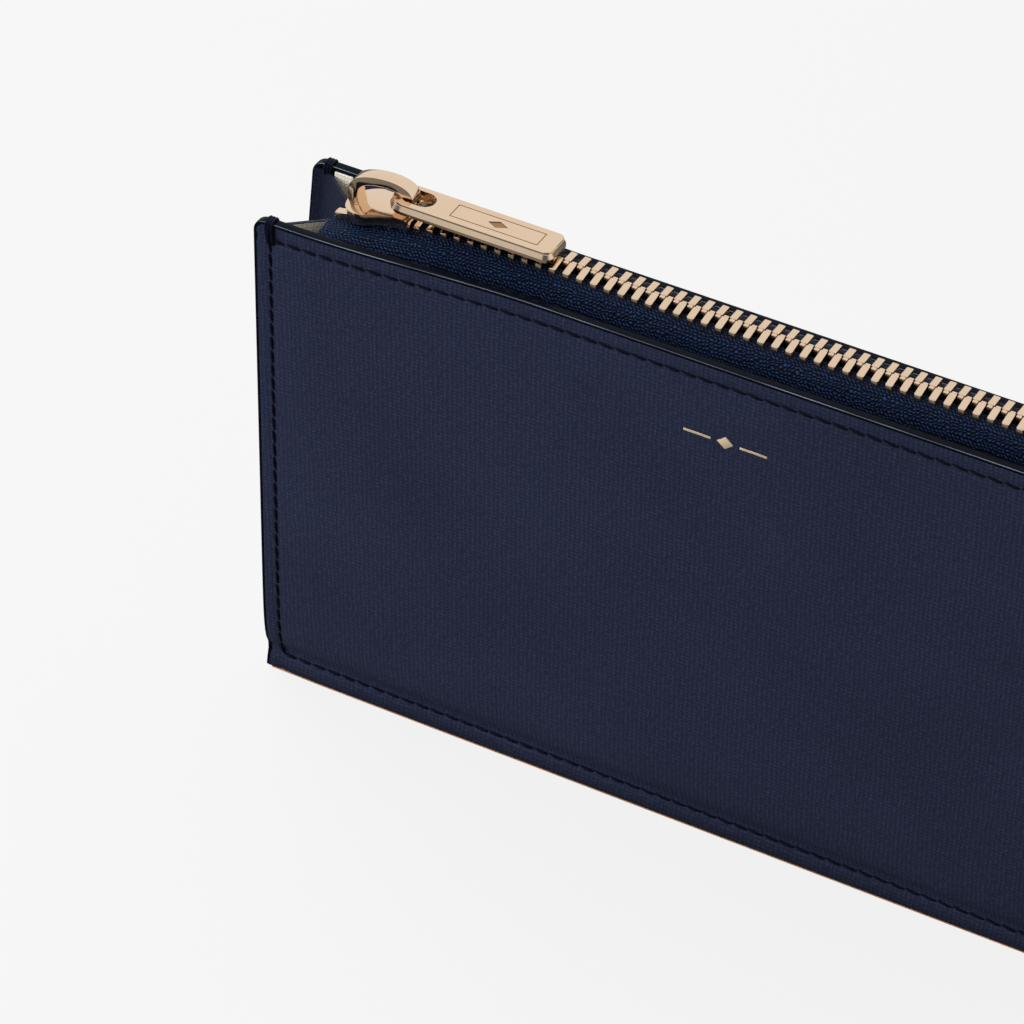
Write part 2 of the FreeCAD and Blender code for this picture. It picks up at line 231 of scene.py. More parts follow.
def merged(parts):
    """Joins several (points, faces) lists into one."""
    points, faces = [], []
    for part_points, part_faces in parts:
        start = len(points)
        points.extend(part_points)
        faces.extend(tuple(start + k for k in face) for face in part_faces)
    return points, faces


def apply_modifiers(obj):
    """Bakes the object's modifiers into its mesh."""
    graph = bpy.context.evaluated_depsgraph_get()
    mesh = bpy.data.meshes.new_from_object(obj.evaluated_get(graph))
    obj.modifiers.clear()
    old = obj.data
    obj.data = mesh
    bpy.data.meshes.remove(old)
    return obj


def bevel(obj, width, segments=3, angle=35.0):
    mod = obj.modifiers.new("bevel", "BEVEL")
    mod.width = width * MM
    mod.segments = segments
    mod.limit_method = "ANGLE"
    mod.angle_limit = math.radians(angle)
    mod.harden_normals = False
    apply_modifiers(obj)
    obj.data.polygons.foreach_set("use_smooth", [True] * len(obj.data.polygons))
    obj.data.set_sharp_from_angle(angle=math.radians(32))
    return obj


def cut(obj, cutter):
    mod = obj.modifiers.new("cut", "BOOLEAN")
    mod.operation = "DIFFERENCE"
    mod.solver = "EXACT"
    mod.object = cutter
    apply_modifiers(obj)
    mesh = cutter.data
    bpy.data.objects.remove(cutter)
    bpy.data.meshes.remove(mesh)
    return obj


def prism(name, outline, low, high, axis="z", material=None):
    """A straight prism over a flat outline: (x, y) raised along z, or (x, z) along y."""
    def place(p, height):
        return (p[0], p[1], height) if axis == "z" else (p[0], height, p[1])
    count = len(outline)
    points = [place(p, low) for p in outline] + [place(p, high) for p in outline]
    faces = [tuple(range(count)), tuple(range(2 * count - 1, count - 1, -1))]
    faces += [(k, (k + 1) % count, (k + 1) % count + count, k + count) for k in range(count)]
    return make_object(name, points, faces, None, material)


def finish_piece(obj, body, nodes):
    """Says which body a piece rides and the CAD nodes that it stands for."""
    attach(obj, body)
    if nodes:
        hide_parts(*nodes)
    return obj


# --- Materials ---
class Nodes:
    """Short helper for building a node material."""

    def __init__(self, name):
        self.material = bpy.data.materials.new(name)
        self.material.use_nodes = True
        self.tree = self.material.node_tree
        self.shader = self.tree.nodes["Principled BSDF"]

    def add(self, kind, **values):
        node = self.tree.nodes.new(kind)
        for key, value in values.items():
            setattr(node, key, value)
        return node

    def link(self, source, target):
        self.tree.links.new(source, target)

    def uv(self, scale=(1, 1, 1), turn=0.0):
        """The piece's own millimetre coordinates, scaled."""
        place = self.add("ShaderNodeUVMap", uv_map="UVMap")
        mapping = self.add("ShaderNodeMapping")
        mapping.inputs["Scale"].default_value = scale
        mapping.inputs["Rotation"].default_value = (0, 0, math.radians(turn))
        self.link(place.outputs["UV"], mapping.inputs["Vector"])
        return mapping.outputs["Vector"]

    def space(self, scale=(1, 1, 1)):
        place = self.add("ShaderNodeTexCoord")
        mapping = self.add("ShaderNodeMapping")
        mapping.inputs["Scale"].default_value = scale
        self.link(place.outputs["Object"], mapping.inputs["Vector"])
        return mapping.outputs["Vector"]

    def noise(self, vector, detail=2.0, rough=0.5):
        node = self.add("ShaderNodeTexNoise")
        node.inputs["Scale"].default_value = 1.0
        node.inputs["Detail"].default_value = detail
        node.inputs["Roughness"].default_value = rough
        self.link(vector, node.inputs["Vector"])
        return node.outputs["Fac"]

    def bands(self, direction, vector, distortion=0.0):
        """Soft parallel lines, one every 0.314 of a unit."""
        node = self.add("ShaderNodeTexWave", wave_type="BANDS", bands_direction=direction)
        node.inputs["Scale"].default_value = 1.0
        node.inputs["Distortion"].default_value = distortion
        node.inputs["Detail"].default_value = 1.0
        self.link(vector, node.inputs["Vector"])
        return node.outputs["Fac"]

    def math(self, operation, a, b=None):
        node = self.add("ShaderNodeMath", operation=operation)
        for index, value in enumerate((a, b)):
            if value is None:
                continue
            if isinstance(value, (int, float)):
                node.inputs[index].default_value = value
            else:
                self.link(value, node.inputs[index])
        return node.outputs[0]

    def remap(self, value, low, high, new_low, new_high):
        node = self.add("ShaderNodeMapRange", interpolation_type="SMOOTHSTEP")
        for index, number in enumerate((low, high, new_low, new_high), start=1):
            node.inputs[index].default_value = number
        self.link(value, node.inputs["Value"])
        return node.outputs["Result"]

    def mix(self, factor, first, second):
        node = self.add("ShaderNodeMix", data_type="RGBA")
        node.inputs["A"].default_value = (*first, 1.0)
        node.inputs["B"].default_value = (*second, 1.0)
        self.link(factor, node.inputs["Factor"])
        return node.outputs["Result"]

    def bump(self, height, strength, distance):
        node = self.add("ShaderNodeBump")
        node.inputs["Strength"].default_value = strength
        node.inputs["Distance"].default_value = distance
        self.link(height, node.inputs["Height"])
        return node.outputs["Normal"]

    def set(self, name, value):
        socket = self.shader.inputs[name]
        if isinstance(value, bpy.types.NodeSocket):
            self.link(value, socket)
        else:
            socket.default_value = value


def leather_material(name, dark, light, grain=1.0, rough=0.52):
    """Pressed leather: fine broken lines both ways, pores, a little colour drift and painted shade towards
    the floor.
    """
    n = Nodes(name)
    level = n.bands("Y", n.uv((30, 52, 1), 1.5), 2.6)
    upright = n.bands("X", n.uv((46, 26, 1), -2.0), 2.6)
    dashes = n.noise(n.uv((110, 260, 1)), 2.0, 0.55)
    strokes = n.noise(n.uv((260, 90, 1)), 2.0, 0.55)
    pores = n.noise(n.uv((520, 520, 1)), 3.0, 0.6)
    drift = n.noise(n.uv((4.0, 5.0, 1)), 2.0, 0.5)
    rows = n.math("MULTIPLY", level, n.remap(dashes, 0.35, 0.65, 0.1, 1.0))
    columns = n.math("MULTIPLY", upright, n.remap(strokes, 0.35, 0.65, 0.1, 1.0))
    ridges = n.math("ADD", n.math("MULTIPLY", rows, 0.55), n.math("MULTIPLY", columns, 0.5))
    height = n.math("ADD", ridges, n.math("MULTIPLY", pores, 0.25))
    shade = n.math("ADD", n.math("MULTIPLY", ridges, 0.8), n.math("MULTIPLY", drift, 0.4))
    # Painted shade: the colour darkens towards the floor, strongest at the bottom edge and gone a little
    # above the bottom stitch row.
    level_above = n.add("ShaderNodeSeparateXYZ")
    n.link(n.space((1 / MM, 1 / MM, 1 / MM)), level_above.inputs[0])
    floor_shade = n.remap(level_above.outputs["Z"], 0.0, BOTTOM_INSET + 0.6, 0.62, 0.0)
    skin_colour = n.mix(n.remap(shade, 0.1, 0.9, 0, 1), dark, light)
    floor_shaded_colour = n.mix(floor_shade, dark, (0.002, 0.003, 0.006))
    n.link(skin_colour, floor_shaded_colour.node.inputs["A"])
    n.set("Base Color", floor_shaded_colour)
    n.set("Roughness", n.remap(height, 0.1, 0.9, rough + 0.08, rough - 0.10))
    n.set("Specular IOR Level", 0.30)
    n.set("Normal", n.bump(height, 0.75 * grain, 0.00013))
    return n.material


def edge_material(name, colour, glint, rough):
    """Paint over a cut leather edge, with slight waves and a painted highlight along the corner that leans
    forward and up.
    """
    n = Nodes(name)
    waves = n.noise(n.space((90, 90, 900)), 2.0)
    facing = n.add("ShaderNodeSeparateXYZ")
    n.link(n.add("ShaderNodeNewGeometry").outputs["Normal"], facing.inputs[0])
    # Painted highlight: the colour turns to the glint colour where the surface leans forward and up, judged
    # by its world-space normal.
    forward = n.math("MULTIPLY", facing.outputs["Y"], -2.0)
    corner = n.math("MULTIPLY", forward, facing.outputs["Z"])
    painted_glint = n.math("MULTIPLY", n.remap(corner, 0.72, 0.97, 0.0, 1.0), n.remap(waves, 0.35, 0.65, 0.35, 1.0))
    n.set("Base Color", n.mix(painted_glint, colour, glint))
    n.set("Roughness", n.remap(waves, 0.2, 0.8, rough, rough + 0.10))
    n.set("Specular IOR Level", 0.04)
    n.set("Normal", n.bump(waves, 0.15, 0.0001))
    return n.material


def thread_material(name, colour):
    """Waxed twisted thread."""
    n = Nodes(name)
    twist = n.add("ShaderNodeTexWave", wave_type="BANDS", bands_direction="DIAGONAL")
    twist.inputs["Scale"].default_value = 900.0
    n.link(n.space(), twist.inputs["Vector"])
    n.set("Base Color", n.mix(twist.outputs["Fac"], tuple(c * 0.6 for c in colour), colour))
    n.set("Roughness", 0.6)
    n.set("Specular IOR Level", 0.15)
    n.set("Normal", n.bump(twist.outputs["Fac"], 0.5, 0.00006))
    return n.material


def tape_material(name, dark, light):
    """Herringbone zip tape: slanted floats whose slant turns over from row to row, with painted highlights on
    the floats.
    """
    n = Nodes(name)
    split = n.add("ShaderNodeSeparateXYZ")
    n.link(n.uv((100, 100, 1)), split.inputs[0])
    wobble = n.math("MULTIPLY", n.noise(n.uv((90, 90, 1)), 2.0), 0.9)
    u = n.math("ADD", split.outputs["X"], wobble)
    v = n.math("ADD", split.outputs["Y"], wobble)
    zigzag = n.add("ShaderNodeMath", operation="PINGPONG")
    zigzag.inputs[1].default_value = 1.6
    n.link(v, zigzag.inputs[0])
    slant = n.math("ADD", u, n.math("MULTIPLY", zigzag.outputs[0], 0.9))
    floats = n.math("SINE", n.math("MULTIPLY", slant, 2 * math.pi / 0.58))
    picks = n.math("SINE", n.math("MULTIPLY", v, 2 * math.pi / 0.46))
    fuzz = n.noise(n.uv((600, 600, 1)), 3.0, 0.6)
    rounded = n.math("ADD", n.math("MULTIPLY", floats, 0.24), n.math("MULTIPLY", picks, 0.26))
    fluff = n.math("MULTIPLY", n.math("SUBTRACT", fuzz, 0.5), 0.5)
    height = n.math("ADD", n.math("ADD", rounded, 0.5), fluff)
    # Painted highlight and shade over the real weave: the colour is lighter on the raised floats and darker
    # between them.
    n.set("Base Color", n.mix(n.remap(height, 0.45, 1.05, 0, 1), dark, light))
    n.set("Roughness", 0.55)
    n.set("Specular IOR Level", 0.12)
    n.set("Normal", n.bump(height, 1.0, 0.00022))
    return n.material


def cloth_material(name, dark, light):
    """Fine plain weave for the lining."""
    n = Nodes(name)
    warp = n.add("ShaderNodeTexWave", wave_type="BANDS", bands_direction="X")
    weft = n.add("ShaderNodeTexWave", wave_type="BANDS", bands_direction="Y")
    for wave in (warp, weft):
        wave.inputs["Scale"].default_value = 60.0
        wave.inputs["Distortion"].default_value = 0.4
        n.link(n.uv(), wave.inputs["Vector"])
    weave = n.math("MULTIPLY", warp.outputs["Fac"], weft.outputs["Fac"])
    drift = n.noise(n.uv((8, 8, 1)), 2.0)
    shade = n.math("ADD", n.math("MULTIPLY", weave, 0.5), n.math("MULTIPLY", drift, 0.5))
    n.set("Base Color", n.mix(shade, dark, light))
    n.set("Roughness", 0.8)
    n.set("Specular IOR Level", 0.25)
    n.set("Normal", n.bump(weave, 0.4, 0.00008))
    return n.material


def metal_material(name, colour, rough=0.16, grain=0.5, metallic=1.0):
    """Polished plated metal with faint brushing and wear."""
    n = Nodes(name)
    brush = n.noise(n.space((400, 3000, 3000)), 2.0)
    cloud = n.noise(n.space((350, 350, 350)), 3.0)
    n.set("Base Color", n.mix(cloud, tuple(c * 0.94 for c in colour), colour))
    n.set("Metallic", metallic)
    wear = n.math("ADD", n.math("MULTIPLY", brush, 0.5), n.math("MULTIPLY", cloud, 0.5))
    n.set("Roughness", n.remap(wear, 0.3, 0.7, rough - 0.04, rough + 0.06))
    n.set("Normal", n.bump(brush, 0.05 * grain, 0.00002))
    return n.material


NAVY_DARK = (0.0128, 0.0174, 0.0425)
NAVY_LIGHT = (0.0258, 0.0338, 0.0765)
LEATHER_SKIN = leather_material("leather_skin", NAVY_DARK, NAVY_LIGHT)
# Painted shade: the gusset leather is a darker copy of the panel leather, for the shade inside the folds.
SHADED_GUSSET_SKIN = leather_material("shaded_gusset_skin", (0.0032, 0.0048, 0.0135), (0.0070, 0.0100, 0.0260), 0.5, 0.5)
POCKET_SKIN = leather_material("pocket_skin", (0.36, 0.30, 0.22), (0.46, 0.39, 0.30), 0.5, 0.55)
# The second colour is a painted highlight for the forward corner of the edge.
EDGE_PAINT = edge_material("edge_paint", (0.0022, 0.003, 0.0065), (0.16, 0.19, 0.23), 0.10)
RAW_EDGE = edge_material("raw_edge", (0.62, 0.30, 0.13), (0.62, 0.30, 0.13), 0.5)
THREAD = thread_material("thread", (0.003, 0.0045, 0.013))
TAPE = tape_material("tape_weave", (0.0008, 0.0018, 0.0070), (0.0150, 0.0380, 0.1100))
LINING = cloth_material("lining_cloth", (0.60, 0.55, 0.48), (0.78, 0.73, 0.65))
GOLD = metal_material("rose_gold", (0.87, 0.66, 0.47), 0.12)
# Painted shade: a dark brown gold for the floors of the engraved lines.
GROOVE_SHADED_GOLD = metal_material("groove_shaded_gold", (0.42, 0.24, 0.13), 0.35)
FOIL = metal_material("gold_foil", (0.95, 0.74, 0.48), 0.35, 0.5, 0.35)


# --- Leather panels ---
EDGE_STEPS = [0.0, 0.04, 0.12, 0.25, 0.42, 0.7, 1.1]


def lines_between(low, high, step):
    """Grid lines, regular inside and close together towards both edges."""
    first = low + EDGE_STEPS[-1]
    last = high - EDGE_STEPS[-1]
    count = round((last - first) / step)
    regular = [first + (last - first) * k / count for k in range(count + 1)]
    near = [low + s for s in EDGE_STEPS[:-1]]
    far = [high - s for s in reversed(EDGE_STEPS[:-1])]
    return near + regular + far


def corner_inset(z):
    """How far the rounded corners draw the side edge in at height z."""
    for radius, distance in ((CORNER_ROUND, TOP - z), (FOOT_ROUND, z)):
        if distance < radius:
            return radius - math.sqrt(max(radius * radius - (radius - distance) ** 2, 0.0))
    return 0.0


def stitch_pull(x, z):
    """How far the stitch rows draw the leather in, deepest at each needle hole."""
    rows = [
        (abs(z - (TOP - TOP_INSET)), x), (abs(z - BOTTOM_INSET), x),
        (abs(abs(x) - (HALF - SIDE_INSET)), z),
    ]
    pull = 0.0
    for distance, along in rows:
        if distance < 1.5:
            hole = (0.5 + 0.5 * math.cos(2 * math.pi * along / STITCH)) ** 3
            pull = max(pull, (0.12 + 0.16 * hole) * math.exp(-((distance / 0.45) ** 2)))
    return pull


def swell(x, z):
    """Slow waves in the leather, and the softer strip outside the stitches."""
    wave = 0.10 * math.sin(x / 17.0 + 0.6) * math.sin(z / 23.0 + 0.4)
    wave += 0.05 * math.sin(x / 7.3 + z / 11.0)
    inside = ease((TOP - TOP_INSET - z) / 6.0) * ease((HALF - SIDE_INSET - abs(x)) / 6.0)
    top_strip = ease(1.0 - (TOP - z) / TOP_INSET)
    wave = wave * ease((HALF - abs(x)) / 12.0) * ease(z / 14.0) * ease((TOP - z) / 8.0)
    belly = 0.16 * (1.0 - flare(x)) * ease(z / TOP)
    return wave + 0.12 * inside + belly - 0.04 * top_strip


def foot_flare(z):
    """The seam allowance opens a little towards the floor."""
    return 0.12 * ease(1.0 - z / 3.0) - 0.30 * math.exp(-(((z - 3.9) / 1.5) ** 2))


def edge_drop(distance):
    radius = 0.42
    if distance >= radius:
        return 0.0
    return radius - math.sqrt(max(radius * radius - (radius - distance) ** 2, 0.0))


def skin(x, z):
    """Distance from the middle plane to the leather's visible face, edges aside."""
    return half_width(x, z) + swell(x, z) + foot_flare(z)


def leather_panel(side):
    xs = lines_between(-HALF, HALF, STITCH / 4)
    zs = lines_between(FOOT_LIFT, TOP, STITCH / 4)
    outer, inner, uv = [], [], []
    for z in zs:
        limit = HALF - corner_inset(z)
        row_out, row_in, row_uv = [], [], []
        for x_line in xs:
            x = x_line * limit / HALF
            distance = min(limit - abs(x), TOP - z, z - FOOT_LIFT)
            y = skin(x, z) - stitch_pull(x, z) - edge_drop(distance)
            row_out.append((x, side * y, z))
            row_in.append((x, side * (skin(x, z) - LEATHER), z))
            row_uv.append((x, z))
        outer.append(row_out)
        inner.append(row_in)
        uv.append(row_uv)
    return solid_between(WORDS[side] + "_leather", outer, inner, uv, LEATHER_SKIN)


# --- Painted edges ---
def perimeter():
    """Points up the left edge, along the top and down the right, with outward directions."""
    low = 0.6
    path = [(-HALF, z, (-1.0, 0.0)) for z in np.linspace(low, TOP - CORNER_ROUND, 60)]
    for angle in np.linspace(180, 90, 9)[1:-1]:
        c, s = math.cos(math.radians(angle)), math.sin(math.radians(angle))
        path.append((-HALF + CORNER_ROUND * (1 + c), TOP - CORNER_ROUND * (1 - s), (c, s)))
    path += [(x, TOP, (0.0, 1.0)) for x in np.linspace(-HALF + CORNER_ROUND, HALF - CORNER_ROUND, 150)]
    right = [(-x, z, (-d[0], d[1])) for x, z, d in reversed(path[:67])]
    return path + right


def edge_bead(side):
    """The rounded painted edge around three sides of a panel."""
    rise = 0.13
    corner = 0.4
    rings = []
    for x, z, (dx, dz) in perimeter():
        near_foot = ease((z - 0.6) / 8.0)
        thick = 1.02 + 0.45 * near_foot
        face = skin(x, z) + 0.03
        ring = []
        for k in range(17):
            angle = math.pi * k / 16
            out = (rise + 0.30) * math.sin(angle) ** corner - 0.30
            lean = math.copysign(abs(math.cos(angle)) ** corner, math.cos(angle))
            y = face - thick / 2 + lean * thick / 2
            ring.append((x + dx * out, side * y, z + dz * out))
        ring.append((x - dx * 0.45, side * (face - thick + 0.10), z - dz * 0.45))
        ring.append((x - dx * 0.45, side * (face - 0.10), z - dz * 0.45))
        rings.append(ring)
    points, faces = sweep(rings)
    return make_object(WORDS[side] + "_edge", points, faces, None, EDGE_PAINT)


def foot_edge(side):
    """The bare cut edge along the bottom seam."""
    rings = []
    for x in np.linspace(-HALF + FOOT_ROUND, HALF - FOOT_ROUND, 90):
        face = skin(x, 0.0) - 0.16
        thick = LEATHER
        ring = []
        for k in range(9):
            angle = math.pi * k / 8
            y = side * (face - thick / 2 + math.cos(angle) * thick / 2)
            ring.append((x, y, 0.26 - 0.25 * math.sin(angle) ** 0.5))
        rings.append(ring)
    points, faces = sweep(rings)
    return make_object(WORDS[side] + "_foot", points, faces, None, RAW_EDGE)


# --- Stitches ---
def thread_tube(path, radii, sides=7):
    """A thin tube along a path, rounded at both ends."""
    rings = []
    for k, point in enumerate(path):
        before = path[max(k - 1, 0)]
        after = path[min(k + 1, len(path) - 1)]
        ahead = (Vector(after) - Vector(before)).normalized()
        helper = Vector((0, 0, 1)) if abs(ahead.z) < 0.9 else Vector((1, 0, 0))
        u = ahead.cross(helper).normalized()
        v = ahead.cross(u)
        ring = []
        for j in range(sides):
            angle = 2 * math.pi * j / sides
            ring.append(tuple(Vector(point) + (u * math.cos(angle) + v * math.sin(angle)) * radii[k]))
        rings.append(ring)
    return sweep(rings)


def stitch(start, end, out, aside):
    """One stitch between two needle holes, standing a little out of the leather."""
    steps = 7
    path, radii = [], []
    for k in range(steps + 1):
        t = k / steps
        arch = math.sin(math.pi * t)
        slant = 0.13 * (1.0 - 2.0 * t)
        point = Vector(start).lerp(Vector(end), 0.04 + 0.92 * t)
        point += Vector(out) * (0.17 * arch ** 0.6 - 0.16) + Vector(aside) * slant
        path.append(tuple(point))
        radii.append(THREAD_RADIUS * (0.55 + 0.45 * arch ** 0.5))
    return thread_tube(path, radii)


def stitch_rows(side):
    """The four rows of a panel, which meet at its corners."""
    x_end = HALF - SIDE_INSET
    z_low, z_high = BOTTOM_INSET, TOP - TOP_INSET
    out = (0, side, 0)
    parts = []

    def spot(x, z):
        return (x, side * (skin(x, z) - 0.05), z)

    across = round(2 * x_end / STITCH)
    for z in (z_low, z_high):
        holes = [spot(-x_end + 2 * x_end * k / across, z) for k in range(across + 1)]
        parts += [stitch(a, b, out, (0, 0, 1)) for a, b in zip(holes, holes[1:])]
    upward = round((z_high - z_low) / STITCH)
    for x in (-x_end, x_end):
        holes = [spot(x, z_low + (z_high - z_low) * k / upward) for k in range(upward + 1)]
        parts += [stitch(a, b, out, (1, 0, 0)) for a, b in zip(holes, holes[1:])]
    points, faces = merged(parts)
    return make_object(WORDS[side] + "_stitches", points, faces, None, THREAD, 60)


def edge_wraps(side):
    """Three turns of thread over the top edge at each end."""
    parts = []
    for end in (-1, 1):
        for k, lean in ((-1, 0.2), (0, -0.1), (1, 0.1)):
            x = end * (HALF - SIDE_INSET) + k * 0.42
            face = skin(x, TOP) + 0.08
            low = skin(x, TOP - 3.2) + 0.02
            back = face - 1.62
            path = [
                (x + lean, side * (low - 0.15), TOP - 3.3), (x + lean, side * (low + 0.10), TOP - 2.8),
                (x + lean * 0.5, side * (face + 0.10), TOP - 1.2), (x, side * (face + 0.10), TOP - 0.2),
                (x, side * (face - 0.22), TOP + 0.24), (x, side * (face - 0.78), TOP + 0.34),
                (x, side * (back + 0.22), TOP + 0.24), (x, side * (back - 0.06), TOP - 0.2),
                (x, side * (back - 0.06), TOP - 1.3),
            ]
            smooth = []
            for a, b in zip(path, path[1:]):
                smooth += [tuple(Vector(a).lerp(Vector(b), t / 3)) for t in range(3)]
            smooth.append(path[-1])
            blur = [smooth[0]] + [
                tuple((Vector(smooth[i - 1]) + Vector(smooth[i]) * 2 + Vector(smooth[i + 1])) / 4)
                for i in range(1, len(smooth) - 1)
            ] + [smooth[-1]]
            parts.append(thread_tube(blur, [0.25] * len(blur), 8))
    points, faces = merged(parts)
    return make_object(WORDS[side] + "_wraps", points, faces, None, THREAD, 60)


# --- Foil ornament ---
FOIL_DROP = 11.6           # from the top edge down to the middle of the foil


def foil_ornament():
    """A lozenge between two short bars, pressed into the leather."""
    middle = TOP - FOIL_DROP
    parts = []

    def plate(outline):
        rings = []
        for grow, out in ((0.0, -0.03), (0.0, 0.015), (-0.03, 0.03)):
            centre_x = sum(p[0] for p in outline) / len(outline)
            centre_z = sum(p[1] for p in outline) / len(outline)
            ring = []
            for px, pz in outline:
                reach = math.hypot(px - centre_x, pz - centre_z)
                factor = (reach + grow) / reach
                x = centre_x + (px - centre_x) * factor
                z = middle + centre_z + (pz - centre_z) * factor
                ring.append((x, -(skin(x, z) + out), z))
            rings.append(ring)
        return sweep(rings)

    def bar(low, high, half):
        count = 8
        upper = [(low + (high - low) * k / count, half) for k in range(count + 1)]
        lower = [(high - (high - low) * k / count, -half) for k in range(count + 1)]
        return plate(upper + lower)

    lozenge = [(-1.2, 0), (-0.6, 0.5), (0, 1.0), (0.6, 0.5), (1.2, 0), (0.6, -0.5), (0, -1.0), (-0.6, -0.5)]
    parts.append(plate(lozenge))
    parts.append(bar(-6.0, -2.1, 0.18))
    parts.append(bar(2.1, 6.0, 0.18))
    points, faces = merged(parts)
    return make_object("foil_ornament", points, faces, None, FOIL)


# --- Linings, gussets, pockets ---
def lining_inside(x, z):
    return half_width(x, z) - LEATHER - 0.03 - 0.49 * ease((z - 4.8) / 4.0)


def thin_sheet(name, side, x_low, x_high, z_low, z_high, depth, thick, material, step=2.5, end_rise=0.0):
    """A sheet that follows the inside of a panel at the given distance from its lining face.

    end_rise is how much higher its top edge runs beyond the ends of the zip tape.
    """
    cols = max(2, round((x_high - x_low) / step) + 1)
    rows = max(2, round((z_high - z_low) / step) + 1)
    outer, inner, uv = [], [], []
    for share in np.linspace(0, 1, rows):
        row_out, row_in, row_uv = [], [], []
        for x in np.linspace(x_low, x_high, cols):
            top = z_high + end_rise * ease((abs(x) - TAPE_END) / 1.5)
            z = z_low + (top - z_low) * share
            y = lining_inside(x, z) - depth
            row_out.append((x, side * y, z))
            row_in.append((x, side * (y - thick), z))
            row_uv.append((x, z))
        outer.append(row_out)
        inner.append(row_in)
        uv.append(row_uv)
    return solid_between(name, outer, inner, uv, material)


FLANGE = 2.4
FOLD_DEPTH = 9.0
GUSSET_TOP = TOP - 0.9
GUSSET_LOW = 4.6


def gusset_section(end, z, inset, thick):
    """Plan line of the folded strip at height z, from the back edge to the front edge.

    Returns the inside line and the groove-side line of the strip.
    """
    width = half_width(end * (HALF - FLANGE), z) - LEATHER - 0.05 - inset
    widest = HALF_CORNER - LEATHER
    fold = FLANGE + FOLD_DEPTH * width / widest
    marks = [(0.25, width), (FLANGE, width), (fold, 0.0), (FLANGE, -width), (0.25, -width)]
    line = []
    soft = 0.9
    for k in range(len(marks) - 1):
        a, b = Vector(marks[k]), Vector(marks[k + 1])
        count = 6 if k in (0, 3) else 10
        line += [a.lerp(b, j / count) for j in range(count)]
    line.append(Vector(marks[-1]))
    for _ in range(3):
        line = [line[0]] + [
            line[k] * (1 - 0.5 * soft) + (line[k - 1] + line[k + 1]) * 0.25 * soft
            for k in range(1, len(line) - 1)
        ] + [line[-1]]
    inside, groove = [], []
    for k, point in enumerate(line):
        ahead = (line[min(k + 1, len(line) - 1)] - line[max(k - 1, 0)]).normalized()
        normal = Vector((-ahead.y, ahead.x))
        inside.append(point)
        shift = min(thick, 0.45 * max(width, 0.2) + 0.05)
        groove.append(point - normal * shift)

    def place(p):
        return (end * (HALF - p.x), p.y, z)

    return [place(p) for p in inside], [place(p) for p in groove]


def folded_strip(name, end, inset, thick, low, high, material):
    rows = 30
    outer, inner, uv = [], [], []
    for z in np.linspace(low, high, rows):
        inside, groove = gusset_section(end, z, inset, thick)
        run = [0.0]
        for a, b in zip(inside, inside[1:]):
            run.append(run[-1] + (Vector(b) - Vector(a)).length)
        outer.append(inside)
        inner.append(groove)
        uv.append([(r, z) for r in run])
    return solid_between(name, outer, inner, uv, material)


# --- Zip ---
def bezier(points, t):
    a, b, c, d = (Vector(p) for p in points)
    s = 1 - t
    return a * s ** 3 + b * 3 * s * s * t + c * 3 * s * t * t + d * t ** 3


def tape_line(x):
    """Section of a tape: corded at the teeth, sloping down, then behind the leather."""
    level = TAPE_LEVEL - 0.42 + chain_rise(x)
    shut_in = ease((TAPE_END - abs(x)) / 8.0)
    wall = half_width(x, TOP - 1.5) - LEATHER - 0.12
    deep = half_width(x, TOP - TAPE_DEPTH) - LEATHER - 0.12
    sway = 0.16 * math.sin(x / 4.3) + 0.10 * math.sin(x / 1.9 + 1.0)
    gap = 0.35 + 0.35 * shut_in
    side_level = TOP + 1.15 + sway + 0.5 * chain_rise(x)
    shoulder = (wall - gap - 0.5 + sway * 0.5, side_level)
    arch = [(1.3, level + 0.25), (3.2, level + 0.15), shoulder, (wall - gap, TOP - 2.2)]
    cord = [Vector((0.85, level + 0.05)), Vector((0.95, level + 0.32)), Vector((1.1, level + 0.32))]
    line = cord + [bezier(arch, t) for t in np.linspace(0, 1, 17)]
    foot = Vector((deep, TOP - TAPE_DEPTH))
    return line + [Vector(arch[-1]).lerp(foot, t) for t in (0.33, 0.66, 1.0)]


def zip_tape(side):
    outer, inner, uv = [], [], []
    for x in np.linspace(-TAPE_END, TAPE_END, 240):
        line = tape_line(x)
        row_out, row_in, row_uv, run = [], [], [], 0.0
        for k, p in enumerate(line):
            ahead = (line[min(k + 1, len(line) - 1)] - line[max(k - 1, 0)]).normalized()
            normal = Vector((ahead.y, -ahead.x))
            q = p + normal * TAPE_THICK
            if k:
                run += (p - line[k - 1]).length
            row_out.append((x, side * p.x, p.y))
            row_in.append((x, side * q.x, q.y))
            row_uv.append((x, run))
        outer.append(row_out)
        inner.append(row_in)
        uv.append(row_uv)
    return solid_between(WORDS[side] + "_tape_cloth", outer, inner, uv, TAPE)


def beveled_block(low, high, chamfer, segments=2):
    """Points and faces of a box with rounded edges."""
    work = bmesh.new()
    bmesh.ops.create_cube(work, size=1.0)
    centre = (Vector(low) + Vector(high)) / 2
    size = Vector(high) - Vector(low)
    for v in work.verts:
        v.co = Vector((centre[i] + v.co[i] * size[i] for i in range(3)))
    bmesh.ops.bevel(work, geom=work.edges[:], offset=chamfer, segments=segments, profile=0.6, affect="EDGES")
    work.verts.index_update()
    points = [tuple(v.co) for v in work.verts]
    faces = [tuple(v.index for v in f.verts) for f in work.faces]
    work.free()
    return points, faces


TOOTH_REACH = CHAIN_HALF + 0.12


